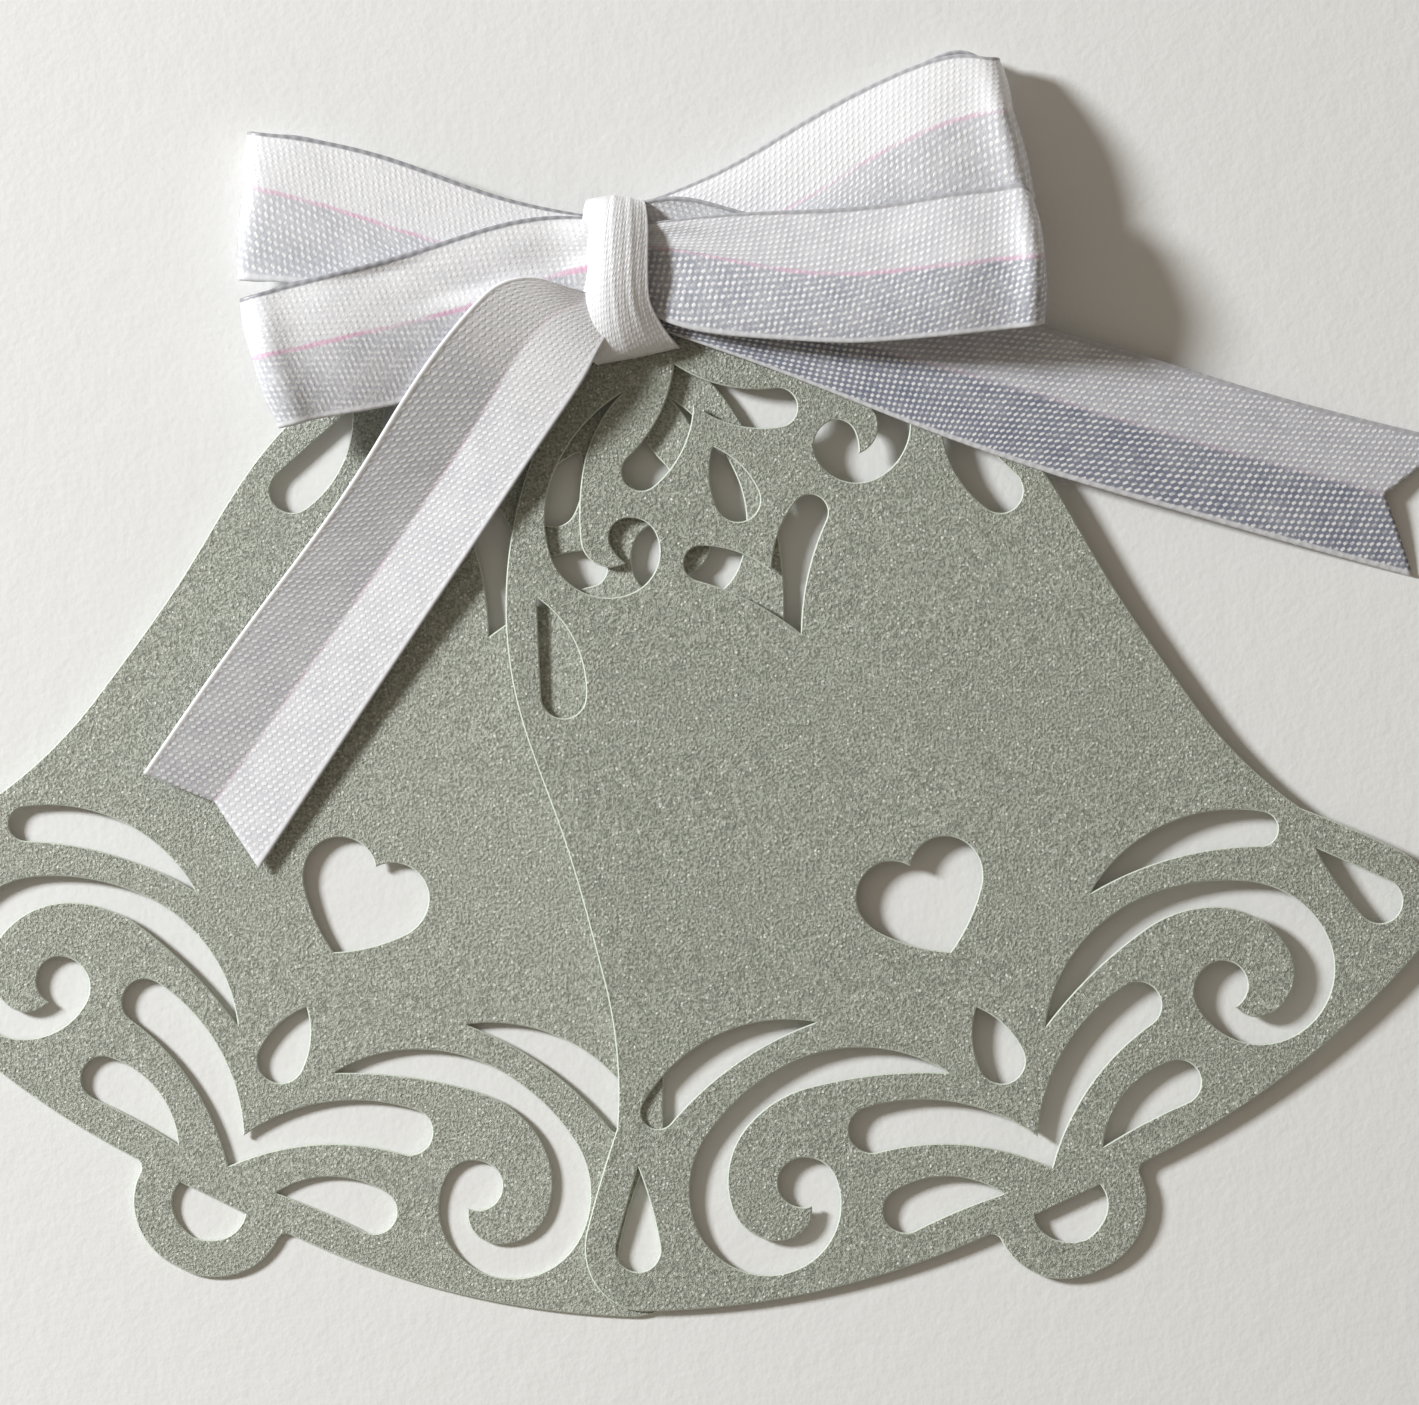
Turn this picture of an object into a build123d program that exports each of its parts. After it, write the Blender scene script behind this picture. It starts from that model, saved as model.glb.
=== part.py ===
"""Bell-shaped wedding card: two crossed die-cut bells of card, tied at their crowns with a satin bow.

The bells lie almost flat: the ribbon's turn behind the crowns lifts them there, and the rim rests.
Lengths are in millimetres and angles in degrees. While it is drawn, the model's origin is the tie,
the centre of the front bell's crown hole; at the end the model moves to the centre of its base.
"""

import copy
import math
import os

from build123d import *

# Card, and the size of one bell
card_thickness = 0.3
bell_width = 62.7
bell_height = 66.3
crown_hole_radius = 2.25
crown_ring_width = 1.75

# How the two bells cross
front_bell_turn = 25.2
rear_bell_turn = -26.2
rear_bell_slip = 0.45

# Ribbon, and how high its middle crease stands above its edges: in a loop, then in each tail
ribbon_width = 10.0
ribbon_thickness = 0.25
loop_crease = 0.4
right_tail_crease = 0.6
left_tail_crease = -1.0

# Turn of the gathered ribbon, down through the crown holes and up behind the crowns' edge
turn_thickness = 0.45
turn_width = 2.2
turn_middle = -0.5
turn_inner = 0.8
turn_gap = 0.1
seat_gap = 0.03

# Knot: a pleated wrap over the gathered ribbon, with a hair of air between it and the card
knot_middle = (-1.9, 2.4)
knot_width = 4.6
knot_length = 10.4
knot_height = 3.7
knot_corner = 1.6
wrap_thickness = 1.0
pleats = 4
pleat_depth = 0.25
pleat_crest = 0.4
card_gap = 0.1
gather_middle = (-1.0, 2.3)
gather_width = 5.8
gather_length = 7.4
gather_height = 2.9
gather_round = 0.7

# Loops: heading, reach from root to bend, place of the root, then heights above the card at the
# root and at the bend, of the lower leg and of the upper leg; a bend's share of the legs' spacing
loops = (
    (173.5, 25.0, (-2.6, 4.3), (0.75, 0.3), (1.2, 1.7)),
    (19.8, 24.0, (1.7, 4.9), (0.75, 0.3), (1.2, 2.2)),
    (197.0, 25.0, (-2.0, 3.7), (2.2, 2.6), (2.65, 4.3)),
    (5.5, 26.0, (0.4, 1.7), (2.2, 3.2), (2.65, 5.4)),
)
loop_bend = 0.36

# Gathers of each loop, left side and then right side of its heading: how far the edge stands from
# the middle at the root, and how far out the loop reaches its full width
gathers = (
    ((3.4, 10.0), (2.0, 20.0)),
    ((3.2, 11.0), (3.6, 9.0)),
    ((3.8, 9.0), (3.4, 22.0)),
    ((4.2, 24.0), (2.8, 13.0)),
)

# Tails: heading, root, length, notch at the end, and run and height above the card at each bend
right_tail_heading = -16.5
right_tail_root = (0.4, 2.3)
right_tail_length = 54.6
right_tail_notch = 3.2
right_tail_heights = ((0, 0.75), (28.0, 0.3), (54.6, -0.9))
left_tail_heading = 235.8
left_tail_root = (-3.4, 5.1)
left_tail_length = 47.8
left_tail_notch = 1.6
left_tail_heights = ((0, 3.3), (5.0, 4.0), (9.5, 4.6), (15.5, 4.1), (25.5, 1.8), (34.5, 1.0), (47.8, 0.8))
tail_bend = 4.0

# Plan of each tail, along its heading and to its left: the left edge's direction at the knot and
# its points, then the right edge's
right_tail_outline = (((1, 0.28), (0, 3.0), (14.0, 5.0)), ((1, -0.18), (0, -3.7), (14.0, -5.0)))
left_tail_outline = (
    ((0, 1), (2.0, 0.2), (5.6, 4.3), (14.0, 5.0)),
    ((1, -0.08), (6.0, -4.2), (20.0, -5.0)),
)

# Pattern of one bell, as it was drawn: its half width, and its height from crown hole to rim
pattern_half_width = 31.35
pattern_height = 66.3

# Edges of the two scrolls, from the tip into the curl and back
small_scroll_outer = (
    (3.8, -4.2), (7.6, -5.25), (10.4, -7.1), (13.05, -12.2), (9.05, -16.75), (6.0, -13.9),
    (7.7, -11.95), (9.1, -13.3), (8.7, -14.75),
)
small_scroll_inner = ((8.7, -14.75), (9.7, -14.6), (10.8, -12.1), (8.6, -7.8), (3.8, -4.2))
great_scroll_outer = (
    (3.6, -55.2), (8.2, -51.15), (13.6, -50.1), (20.2, -52.1), (23.45, -57.6), (18.0, -62.85),
    (13.55, -58.3), (15.9, -56.1), (17.35, -57.6), (15.8, -59.4),
)
great_scroll_inner = (
    (15.8, -59.4), (16.7, -60.6), (18.1, -60.85), (20.75, -57.2), (17.4, -52.65), (12.6, -52.05),
    (3.6, -55.2),
)


def spot(across, up):
    """Place of a pattern point on a bell of the size set above."""
    return (across * bell_width / (2 * pattern_half_width), up * bell_height / pattern_height)


def round_size(radius):
    """Radius on the bell of a round end in the pattern."""
    return radius * min(bell_width / (2 * pattern_half_width), bell_height / pattern_height)


def arc_chain(start, through, *ends):
    """A three-point arc, and then arcs that each carry on from the last without a kink."""
    arc = ThreePointArc(spot(*start), spot(*through), spot(*ends[0]))
    for end in ends[1:]:
        arc = TangentArc(arc @ 1, spot(*end), tangent=arc % 1)
    return arc


def drop(head, radius, first, last, tip, second_tip=None):
    """Cut a drop: a round head between two angles, and an arc from each side of it to the tip."""
    centre = Vector(*spot(*head))
    size = round_size(radius)
    with BuildSketch() as shape:
        with BuildLine():
            end = CenterArc(centre, size, first, last - first)
            TangentArc(end @ 0, spot(*tip), tangent=-(end % 0))
            TangentArc(end @ 1, spot(*(second_tip or tip)), tangent=end % 1)
            if second_tip:
                Line(spot(*tip), spot(*second_tip))
        make_face()
    return shape.sketch


def scroll(outer, inner):
    """Cut a scroll: its outer edge from the tip into the curl, and its inner edge back to the tip."""
    with BuildSketch() as shape:
        with BuildLine():
            arc_chain(*outer)
            arc_chain(*inner)
        make_face()
    return shape.sketch


def half_heart():
    """Right half of the heart: a lobe from the notch, and a side that runs on from it to the tip."""
    with BuildSketch() as shape:
        with BuildLine():
            arc_chain((0, -41.45), (2.2, -40.42), (4.4, -42.75), (0, -47.85))
            Line(spot(0, -47.85), spot(0, -41.45))
        make_face()
    return shape.sketch


def half_moon():
    """Right half of the opening in the clapper, flat at the top and round below."""
    with BuildSketch() as shape:
        with BuildLine():
            Line(spot(0, -66.4), spot(2.45, -66.4))
            arc_chain((2.45, -66.4), (1.8, -68.55), (0, -69.35))
            Line(spot(0, -69.35), spot(0, -66.4))
        make_face()
    return shape.sketch


# Pierced pattern of a bell: its right half, mirrored about the bell's axis
with BuildSketch() as pattern:
    add(half_heart())
    add(half_moon())
    # Leaves on the axis
    add(drop((0, -14.1), 1.5, 180, 360, (0, -10.15)))
    add(drop((0, -56.0), 1.55, 180, 360, (0, -52.0)))
    # Arms that meet on the axis, from the crown down
    add(drop((5.1, -9.6), 1.3, -105, 72, (0, -7.0), (0, -4.0)))
    add(drop((4.05, -16.95), 1.2, -50, 116, (0, -24.1), (0, -19.5)))
    add(drop((9.95, -56.5), 1.55, -80, 98, (0, -64.0), (0, -61.7)))
    # Drops at the shoulder, above and below the great scroll, and in the lip's corner
    add(drop((16.3, -21.1), 1.5, 208, 382, (15.1, -14.3)))
    add(drop((22.5, -49.25), 1.15, -115, 55, (10.2, -48.3)))
    add(drop((10.2, -62.4), 1.5, -92, 83, (3.7, -64.2)))
    add(drop((27.7, -57.1), 1.5, 196, 400, (25.3, -52.0)))
    # Small scroll under the crown, and the great scroll above the rim
    add(scroll(small_scroll_outer, small_scroll_inner))
    add(scroll(great_scroll_outer, great_scroll_inner))
    mirror(about=Plane.YZ)

# Face of a bell: dome, waist, flared lip, rim and clapper, then the crown ring and the pattern
with BuildSketch() as bell_face:
    with BuildLine():
        flank = Spline(
            spot(0, -0.8), spot(6.6, -2.3), spot(12.3, -6.6), spot(16.7, -12.8), spot(19.3, -20.0),
            spot(20.3, -29.0), spot(21.9, -39.0),
            tangents=[(1, 0), (0.17, -1)],
        )
        waist = TangentArc(flank @ 1, spot(25.5, -49.1), tangent=flank % 1)
        lip = TangentArc(waist @ 1, spot(30.3, -54.5), tangent=(0.7, -0.72))
        nose = TangentArc(lip @ 1, spot(31.35, -57.2), tangent=lip % 1)
        corner = TangentArc(nose @ 1, spot(29.0, -61.1), tangent=nose % 1)
        rim = TangentArc(corner @ 1, spot(5.85, -66.3), tangent=corner % 1)
        neck = TangentArc(rim @ 1, spot(5.2, -67.0), tangent=rim % 1)
        side = TangentArc(neck @ 1, spot(3.4, -70.6), tangent=(0, -1))
        bottom = TangentArc(side @ 1, spot(0, -71.65), tangent=side % 1)
        Line(bottom @ 1, flank @ 0)
    make_face()
    mirror(about=Plane.YZ)
    Circle(crown_hole_radius + crown_ring_width)
    Circle(crown_hole_radius, mode=Mode.SUBTRACT)
    add(pattern.sketch, mode=Mode.SUBTRACT)

# Both bells lean: the ribbon's turn lifts them at the crowns, and the rear bell's rim rests
rear_flat = Plane.XY.rotated((0, 0, rear_bell_turn))
rear_flat = rear_flat.move(Location(rear_flat.from_local_coords((0, -rear_bell_slip))))
with BuildSketch(rear_flat) as rear_outline:
    add(bell_face.sketch)
rim_reach = -rear_outline.sketch.bounding_box().min.Y
lean = math.degrees(math.asin((turn_thickness + seat_gap) / (rim_reach + turn_inner)))
tie_height = rim_reach * math.sin(math.radians(lean))
card_plane = Plane.XY.offset(tie_height).rotated((lean, 0, 0))
card_top = tie_height + 2 * card_thickness / math.cos(math.radians(lean))

with BuildPart() as rear_bell:
    with BuildSketch(Plane(card_plane.location * Location((0, 0, 0), (0, 0, rear_bell_turn)))):
        with Locations((0, -rear_bell_slip)):
            add(bell_face.sketch)
    extrude(amount=card_thickness)

with BuildPart() as front_bell:
    with BuildSketch(Plane(card_plane.location * Location((0, 0, card_thickness), (0, 0, front_bell_turn)))):
        add(bell_face.sketch)
    extrude(amount=card_thickness)


def along(heading):
    """Level unit vector in a heading."""
    return Vector(math.cos(math.radians(heading)), math.sin(math.radians(heading)), 0)


def ribbon_section(width, rise):
    """Section of the ribbon: two halves that meet at a crease, and run through its edges' places."""
    half = width / 2
    skin = ribbon_thickness / 2
    edge = rise * (1 - width / ribbon_width)
    with BuildSketch() as shape:
        with BuildLine():
            Polyline((-half, edge - skin), (0, rise - skin), (half, edge - skin),
                     (half, edge + skin), (0, rise + skin), (-half, edge + skin), close=True)
        make_face()
    return shape.sketch


def gathered_side(root, flare, full):
    """Edge of a loop seen from above: an S-bend from its place at the root to the full width."""
    inner = TangentArc((0, root), (flare / 2, (root + full) / 2), tangent=(1, 0))
    return TangentArc(inner @ 1, (flare, full), tangent=inner % 1)


def bow_loop(heading, reach, root, lower, upper, left_gather, right_gather):
    """One loop of the bow: out along the lower leg, round the bend, back along the upper leg."""
    forward = along(heading)
    rightward = forward.rotate(Axis.Z, -90)
    upright = Plane(origin=(*root, card_top), x_dir=forward, z_dir=rightward)
    half = ribbon_width / 2
    past = reach + ribbon_width
    bend = loop_bend * (upper[1] - lower[1])
    with BuildPart() as loop:
        with BuildLine(upright) as path:
            Polyline((0, lower[0]), (reach - bend, lower[1]), (reach, lower[1] + bend), (reach, upper[1] - bend),
                     (reach - bend, upper[1]), (0, upper[0]))
        with BuildSketch(Plane(origin=path.line @ 0, x_dir=rightward, z_dir=path.line % 0)):
            add(ribbon_section(ribbon_width, loop_crease))
        sweep(transition=Transition.RIGHT)
        with BuildSketch(Plane(origin=(*root, 0), x_dir=forward)):
            with BuildLine():
                left = gathered_side(left_gather[0], left_gather[1], half)
                right = gathered_side(-right_gather[0], right_gather[1], -half)
                Polyline(left @ 1, (past, half), (past, -half), right @ 1)
                Line((0, left_gather[0]), (0, -right_gather[0]))
            make_face()
        extrude(amount=card_top + upper[1] + ribbon_width, mode=Mode.INTERSECT)
    return loop.part


def tail_side(direction, *points):
    """Edge of a tail seen from above, as arcs: its direction where it starts, and its points."""
    arc = TangentArc(points[0], points[1], tangent=direction)
    for point in points[2:]:
        arc = TangentArc(arc @ 1, point, tangent=arc % 1)
    return arc


def ribbon_tail(heading, root, length, notch, heights, rise, outline):
    """A tail: a creased strip that follows the heights, cut to its outline as seen from above."""
    forward = along(heading)
    rightward = forward.rotate(Axis.Z, -90)
    upright = Plane(origin=(*root, card_top), x_dir=forward, z_dir=rightward)
    with BuildPart() as tail:
        with BuildLine(upright) as path:
            FilletPolyline(*heights, radius=tail_bend)
        with BuildSketch(Plane(origin=path.line @ 0, x_dir=-rightward, z_dir=path.line % 0)):
            add(ribbon_section(2 * ribbon_width, rise))
        sweep()
        with BuildSketch(Plane(origin=(*root, 0), x_dir=forward)):
            with BuildLine():
                left = tail_side(*outline[0])
                right = tail_side(*outline[1])
                Polyline(left @ 1, (length, ribbon_width / 2), (length - notch, 0), (length, -ribbon_width / 2),
                         right @ 1)
                Line(outline[0][1], outline[1][1])
            make_face()
        extrude(amount=card_top + 2 * ribbon_width, mode=Mode.INTERSECT)
    return tail.part


bow_loops = [bow_loop(*shape, *gather) for shape, gather in zip(loops, gathers)]
right_tail = ribbon_tail(right_tail_heading, right_tail_root, right_tail_length, right_tail_notch,
                         right_tail_heights, right_tail_crease, right_tail_outline)
left_tail = ribbon_tail(left_tail_heading, left_tail_root, left_tail_length, left_tail_notch,
                        left_tail_heights, left_tail_crease, left_tail_outline)

# Knot: the wrap comes up from the card, runs over the gathered ribbon and goes down again
knot_base = card_top + card_gap
wrap_half = knot_length / 2 - wrap_thickness
wrap_rise = knot_height - card_gap - wrap_thickness
knot_plane = Plane(origin=(*knot_middle, knot_base), x_dir=(0, 1, 0), z_dir=(1, 0, 0))
pleat_width = knot_width / pleats
crest_half = pleat_crest * pleat_width / 2
valley = pleat_depth - wrap_thickness
with BuildPart() as knot:
    with BuildLine(knot_plane) as wrap_path:
        FilletPolyline((-wrap_half, 0), (-wrap_half, wrap_rise), (wrap_half, wrap_rise), (wrap_half, 0),
                       radius=knot_corner)
    with BuildSketch(Plane(origin=wrap_path.line @ 0, x_dir=(1, 0, 0), z_dir=wrap_path.line % 0)):
        with BuildLine():
            for pleat in range(pleats):
                middle = (pleat + 0.5) * pleat_width - knot_width / 2
                Polyline((middle - pleat_width / 2, valley), (middle - crest_half, -wrap_thickness),
                         (middle + crest_half, -wrap_thickness), (middle + pleat_width / 2, valley))
            Polyline((knot_width / 2, valley), (knot_width / 2, 0), (-knot_width / 2, 0), (-knot_width / 2, valley))
        make_face()
    sweep()

# Gathered ribbon inside the knot: it shows at the knot's right
with BuildPart() as gathered:
    with BuildSketch(Plane(origin=(*gather_middle, knot_base))):
        RectangleRounded(gather_width, gather_length, gather_round)
    extrude(amount=gather_height)
    chamfer(gathered.faces().sort_by(Axis.Z)[-1].edges(), length=gather_round / 2)

# Turn: down through both crown holes, across behind the crowns, and up outside their edge
turn_front = turn_inner + turn_thickness / 2
turn_back = crown_hole_radius + crown_ring_width + turn_gap + turn_thickness / 2
turn_top = knot_base + gather_height / 2
with BuildPart() as turn:
    with BuildSketch(Plane.YZ.offset(turn_middle)):
        with BuildLine():
            FilletPolyline((turn_front, turn_top), (turn_front, turn_thickness / 2),
                           (turn_back, turn_thickness / 2), (turn_back, turn_top), radius=turn_thickness)
        trace(line_width=turn_thickness)
    extrude(amount=turn_width / 2, both=True)

# The bow is one length of ribbon
with BuildPart() as ribbon_bow:
    add(bow_loops)
    add(right_tail)
    add(left_tail)
    add(knot.part)
    add(gathered.part)
    add(turn.part)

rear_bell.part.label = "rear_bell"
front_bell.part.label = "front_bell"
ribbon_bow.part.label = "ribbon_bow"

# The model moves so that its origin is the centre of its base
pieces = (rear_bell.part, front_bell.part, ribbon_bow.part)
whole = Compound(children=[copy.copy(piece) for piece in pieces]).bounding_box()
base_centre = Vector(whole.center().X, whole.center().Y, whole.min.Z)
for piece in pieces:
    piece.move(Location(-base_centre))

os.makedirs("parts", exist_ok=True)
export_step(rear_bell.part, "parts/rear_bell.step")
export_step(front_bell.part, "parts/front_bell.step")
export_step(ribbon_bow.part, "parts/ribbon_bow.step")
print("tie at", tuple(round(value, 4) for value in Vector(0, 0, tie_height) - base_centre))
print("lean", round(lean, 4), "size", whole.size)
for piece in pieces:
    print(piece.label, piece.is_valid, len(piece.solids()), round(piece.volume, 2))
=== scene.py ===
import cmath
import math

import bmesh
import bpy
import numpy as np
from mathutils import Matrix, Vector, geometry


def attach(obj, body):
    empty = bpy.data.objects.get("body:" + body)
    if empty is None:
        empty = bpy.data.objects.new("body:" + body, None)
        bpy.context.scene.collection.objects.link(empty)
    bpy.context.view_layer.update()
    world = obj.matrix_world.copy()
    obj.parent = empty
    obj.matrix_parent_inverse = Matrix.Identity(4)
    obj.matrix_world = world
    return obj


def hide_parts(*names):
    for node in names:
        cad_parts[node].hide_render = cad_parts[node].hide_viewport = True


# Bell-shaped wedding card: two bells of pearl card, tied at their crowns with a satin bow. Each of the
# three pieces replaces its solid. Lengths are in millimetres until they reach Blender. A place seen in
# the photograph is a pixel and a height above the card at the tie; a place in the model is counted
# from the middle of its base.

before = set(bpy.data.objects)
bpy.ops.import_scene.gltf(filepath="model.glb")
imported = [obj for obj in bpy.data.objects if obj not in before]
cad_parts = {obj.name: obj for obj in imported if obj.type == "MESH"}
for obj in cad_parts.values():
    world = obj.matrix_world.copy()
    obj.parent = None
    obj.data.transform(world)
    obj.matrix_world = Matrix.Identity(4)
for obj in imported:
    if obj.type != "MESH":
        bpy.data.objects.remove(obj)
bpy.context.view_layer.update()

MM = 0.001
TINY = 1e-6

# How the card lies: its thickness, its rise in a millimetre towards the crowns, and at the tie the
# height of its underside
CARD_THICKNESS = 0.3
CARD_LEAN = 0.00699
CARD_REST = 0.4753

# The tie in the model, and the height there of the upper bell's face
TIE = np.array((-0.0321, 25.1279))
CARD_TOP = CARD_REST + 2 * CARD_THICKNESS

# The photograph: its size, the tie's pixel, its scale at the card, and how far away the camera is
PHOTO_SIZE = (1419, 1405)
TIE_PIXEL = np.array((649.0, 311.0))
PIXELS_PER_MM = 14.8
CAMERA_HEIGHT = 600.0
SENSOR = 36.0

camera_place = TIE + (np.array(PHOTO_SIZE) / 2 - TIE_PIXEL) * (1, -1) / PIXELS_PER_MM


def spot(pixel_x, pixel_y, height, sight=None):
    """Place of a photographed point that stands a height above the card.

    Sight is the height that the point is drawn at, where it lies hidden under the one seen there."""
    flat = TIE + (np.array((pixel_x, pixel_y)) - TIE_PIXEL) * (1, -1) / PIXELS_PER_MM
    above = height if sight is None else sight
    seen = camera_place + (flat - camera_place) * (1 - above / CAMERA_HEIGHT)
    return np.array((seen[0], seen[1], CARD_TOP + height))


def spline(knots, points, at):
    """Natural cubic spline through points at knots, read at any array of places."""
    knots, points, at = np.array(knots, float), np.array(points, float), np.array(at, float)
    count, gap = len(knots), np.diff(knots)
    matrix, side = np.eye(count), np.zeros_like(points)
    for i in range(1, count - 1):
        matrix[i, i - 1:i + 2] = gap[i - 1], 2 * (gap[i - 1] + gap[i]), gap[i]
        side[i] = 6 * ((points[i + 1] - points[i]) / gap[i] - (points[i] - points[i - 1]) / gap[i - 1])
    bend = np.linalg.solve(matrix, side)
    i = np.clip(np.searchsorted(knots, at, side="right") - 1, 0, count - 2)
    before = ((knots[i + 1] - at) / gap[i])[..., None]
    after = 1 - before
    pull = (before ** 3 - before) * bend[i] + (after ** 3 - after) * bend[i + 1]
    return before * points[i] + after * points[i + 1] + pull * (gap[i] ** 2)[..., None] / 6


def lengths(points):
    """Distance along a row of points, from its first."""
    steps = np.linalg.norm(np.diff(np.array(points, float), axis=0), axis=1)
    return np.concatenate(((0.0,), np.cumsum(steps)))


def smooth(value, low, high):
    """Rises smoothly from 0 at low to 1 at high."""
    share = np.clip((value - low) / (high - low), 0, 1)
    return share * share * (3 - 2 * share)


def add_object(name, data):
    """Puts a mesh, a lamp or a camera into the scene."""
    made = bpy.data.objects.new(name, data)
    bpy.context.scene.collection.objects.link(made)
    return made


def face_outward(mesh):
    """Turns the faces of a closed mesh outward and shades it smooth."""
    shape = bmesh.new()
    shape.from_mesh(mesh)
    bmesh.ops.recalc_face_normals(shape, faces=shape.faces)
    shape.to_mesh(mesh)
    shape.free()
    mesh.shade_smooth()


# Fineness of a bell's mesh: spacing along arcs and their turn between points, a drop's round head in
# degrees, points of the flank, the crown ring and the crown hole, the grid between the cuts, and how
# near two points of a line count as one
POINT_STEP = 0.22
ARC_TURN = math.radians(4)
DROP_TURN = 8
FLANK_POINTS = 120
RING_POINTS = 24
HOLE_POINTS = 64
GRID_STEP = 2.5
GRID_ACROSS = (-30.0, 30.0)
GRID_UP = (-70.0, 2.5)
SAME_POINT = 0.01

# How a cut edge is rounded, and the angle from which an edge shows as sharp
CUT_ROUND = 0.08
SHARP = math.radians(35)


def arc(start, end, heading):
    """Points of an arc that leaves start in a heading and ends at end, and its heading there."""
    chord = end - start
    turn = math.remainder(cmath.phase(chord / heading), math.tau)
    count = max(2, int(max(abs(chord) / POINT_STEP, abs(turn) / ARC_TURN)) + 1)
    shares = np.linspace(0, 1, count + 1)
    if abs(turn) < TINY:
        return list(start + chord * shares), heading
    centre = start + 1j * heading * abs(chord) / (2 * math.sin(turn))
    return list(centre + (start - centre) * np.exp(2j * turn * shares)), heading * cmath.exp(2j * turn)


def follow(points, heading, ends):
    """Carries a line on through more ends with tangent arcs."""
    for end in ends:
        more, heading = arc(points[-1], complex(*end), heading)
        points = points + more[1:]
    return points


def chain(first, through, *ends):
    """A three-point arc, and then arcs that each carry on from the last without a kink."""
    a, b, c = (complex(*point) for point in (first, through, ends[0]))
    w = (c - a) / (b - a)
    centre = a + (b - a) * (w - abs(w) ** 2) / (2j * w.imag)
    side = 1 if ((b - a).conjugate() * (c - b)).imag > 0 else -1
    points, heading = arc(a, c, side * 1j * (a - centre) / abs(a - centre))
    return follow(points, heading, ends[1:])


def drop(head, radius, first, last, tip, second_tip=None):
    """A drop: a round head between two angles, and an arc from each side of it to the tip."""
    centre = complex(*head)
    turns = np.radians(np.linspace(first, last, math.ceil((last - first) / DROP_TURN) + 1))
    ring = list(centre + radius * np.exp(1j * turns))
    back = follow([ring[0]], -1j * np.exp(1j * turns[0]), [tip])
    out = follow([ring[-1]], 1j * np.exp(1j * turns[-1]), [second_tip or tip])
    return back[::-1] + ring[1:-1] + out


def scroll(outer, inner):
    """A scroll: its outer edge from the tip into the curl, and its inner edge back to the tip."""
    return chain(*outer) + chain(*inner)[1:]


def mirrored(line):
    """The line on the other side of the bell's axis."""
    return [-point.conjugate() for point in line]


def whole(half):
    """A shape on the axis, from its right half."""
    return half + mirrored([point for point in half[::-1] if abs(point.real) > TINY])


def distinct(points):
    """The closed line without points that fall on each other."""
    return [point for point, last in zip(points, points[-1:] + points[:-1]) if abs(point - last) > SAME_POINT]


# Right side of a bell's outline, as it was drawn from the crown hole's centre: the flank, and then runs
# of arcs, each with the heading that it starts in, by the waist and the lip to the rim and the clapper
CROWN_HOLE = 2.25
CROWN_RING = 4.0
FLANK = ((0, -0.8), (6.6, -2.3), (12.3, -6.6), (16.7, -12.8), (19.3, -20.0), (20.3, -29.0), (21.9, -39.0))
WAIST = (complex(0.17, -1), ((25.5, -49.1),))
LIP = (complex(0.7, -0.72), ((30.3, -54.5), (31.35, -57.2), (29.0, -61.1), (5.85, -66.3), (5.2, -67.0)))
CLAPPER = (complex(0, -1), ((3.4, -70.6), (0, -71.65)))

# Cut-outs on the axis
HEART = whole(chain((0, -41.45), (2.2, -40.42), (4.4, -42.75), (3.75, -44.7), (0, -47.85)))
HALF_MOON = whole([complex(0, -66.4)] + chain((2.45, -66.4), (2.42, -67.6), (1.8, -68.55), (0, -69.35)))
LEAVES = (
    drop((0, -14.1), 1.5, 180, 360, (0, -10.15)),
    drop((0, -56.0), 1.55, 180, 360, (0, -52.0)),
)
ARMS = (
    whole(drop((5.1, -9.6), 1.3, -105, 72, (0, -7.0), (0, -4.0))),
    whole(drop((4.05, -16.95), 1.2, -50, 116, (0, -24.1), (0, -19.5))),
    whole(drop((9.95, -56.5), 1.55, -80, 98, (0, -64.0), (0, -61.7))),
)

# Cut-outs on both sides: drops at the shoulder, above and below the great scroll, and in the lip's
# corner, and then the small scroll under the crown and the great scroll above the rim
SIDE_DROPS = (
    drop((16.3, -21.1), 1.5, 208, 382, (15.1, -14.3)),
    drop((22.5, -49.25), 1.15, -115, 55, (10.2, -48.3)),
    drop((10.2, -62.4), 1.5, -92, 83, (3.7, -64.2)),
    drop((27.7, -57.1), 1.5, 196, 400, (25.3, -52.0)),
)
SMALL_SCROLL = scroll(
    ((3.8, -4.2), (7.6, -5.25), (10.4, -7.1), (13.05, -12.2), (9.05, -16.75), (6.0, -13.9),
     (7.7, -11.95), (9.1, -13.3), (8.7, -14.75)),
    ((8.7, -14.75), (9.7, -14.6), (10.8, -12.1), (8.6, -7.8), (3.8, -4.2)),
)
GREAT_SCROLL = scroll(
    ((3.6, -55.2), (8.2, -51.15), (13.6, -50.1), (20.2, -52.1), (23.45, -57.6), (18.0, -62.85),
     (13.55, -58.3), (15.9, -56.1), (17.35, -57.6), (15.8, -59.4)),
    ((15.8, -59.4), (16.7, -60.6), (18.1, -60.85), (20.75, -57.2), (17.4, -52.65), (12.6, -52.05),
     (3.6, -55.2)),
)


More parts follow.
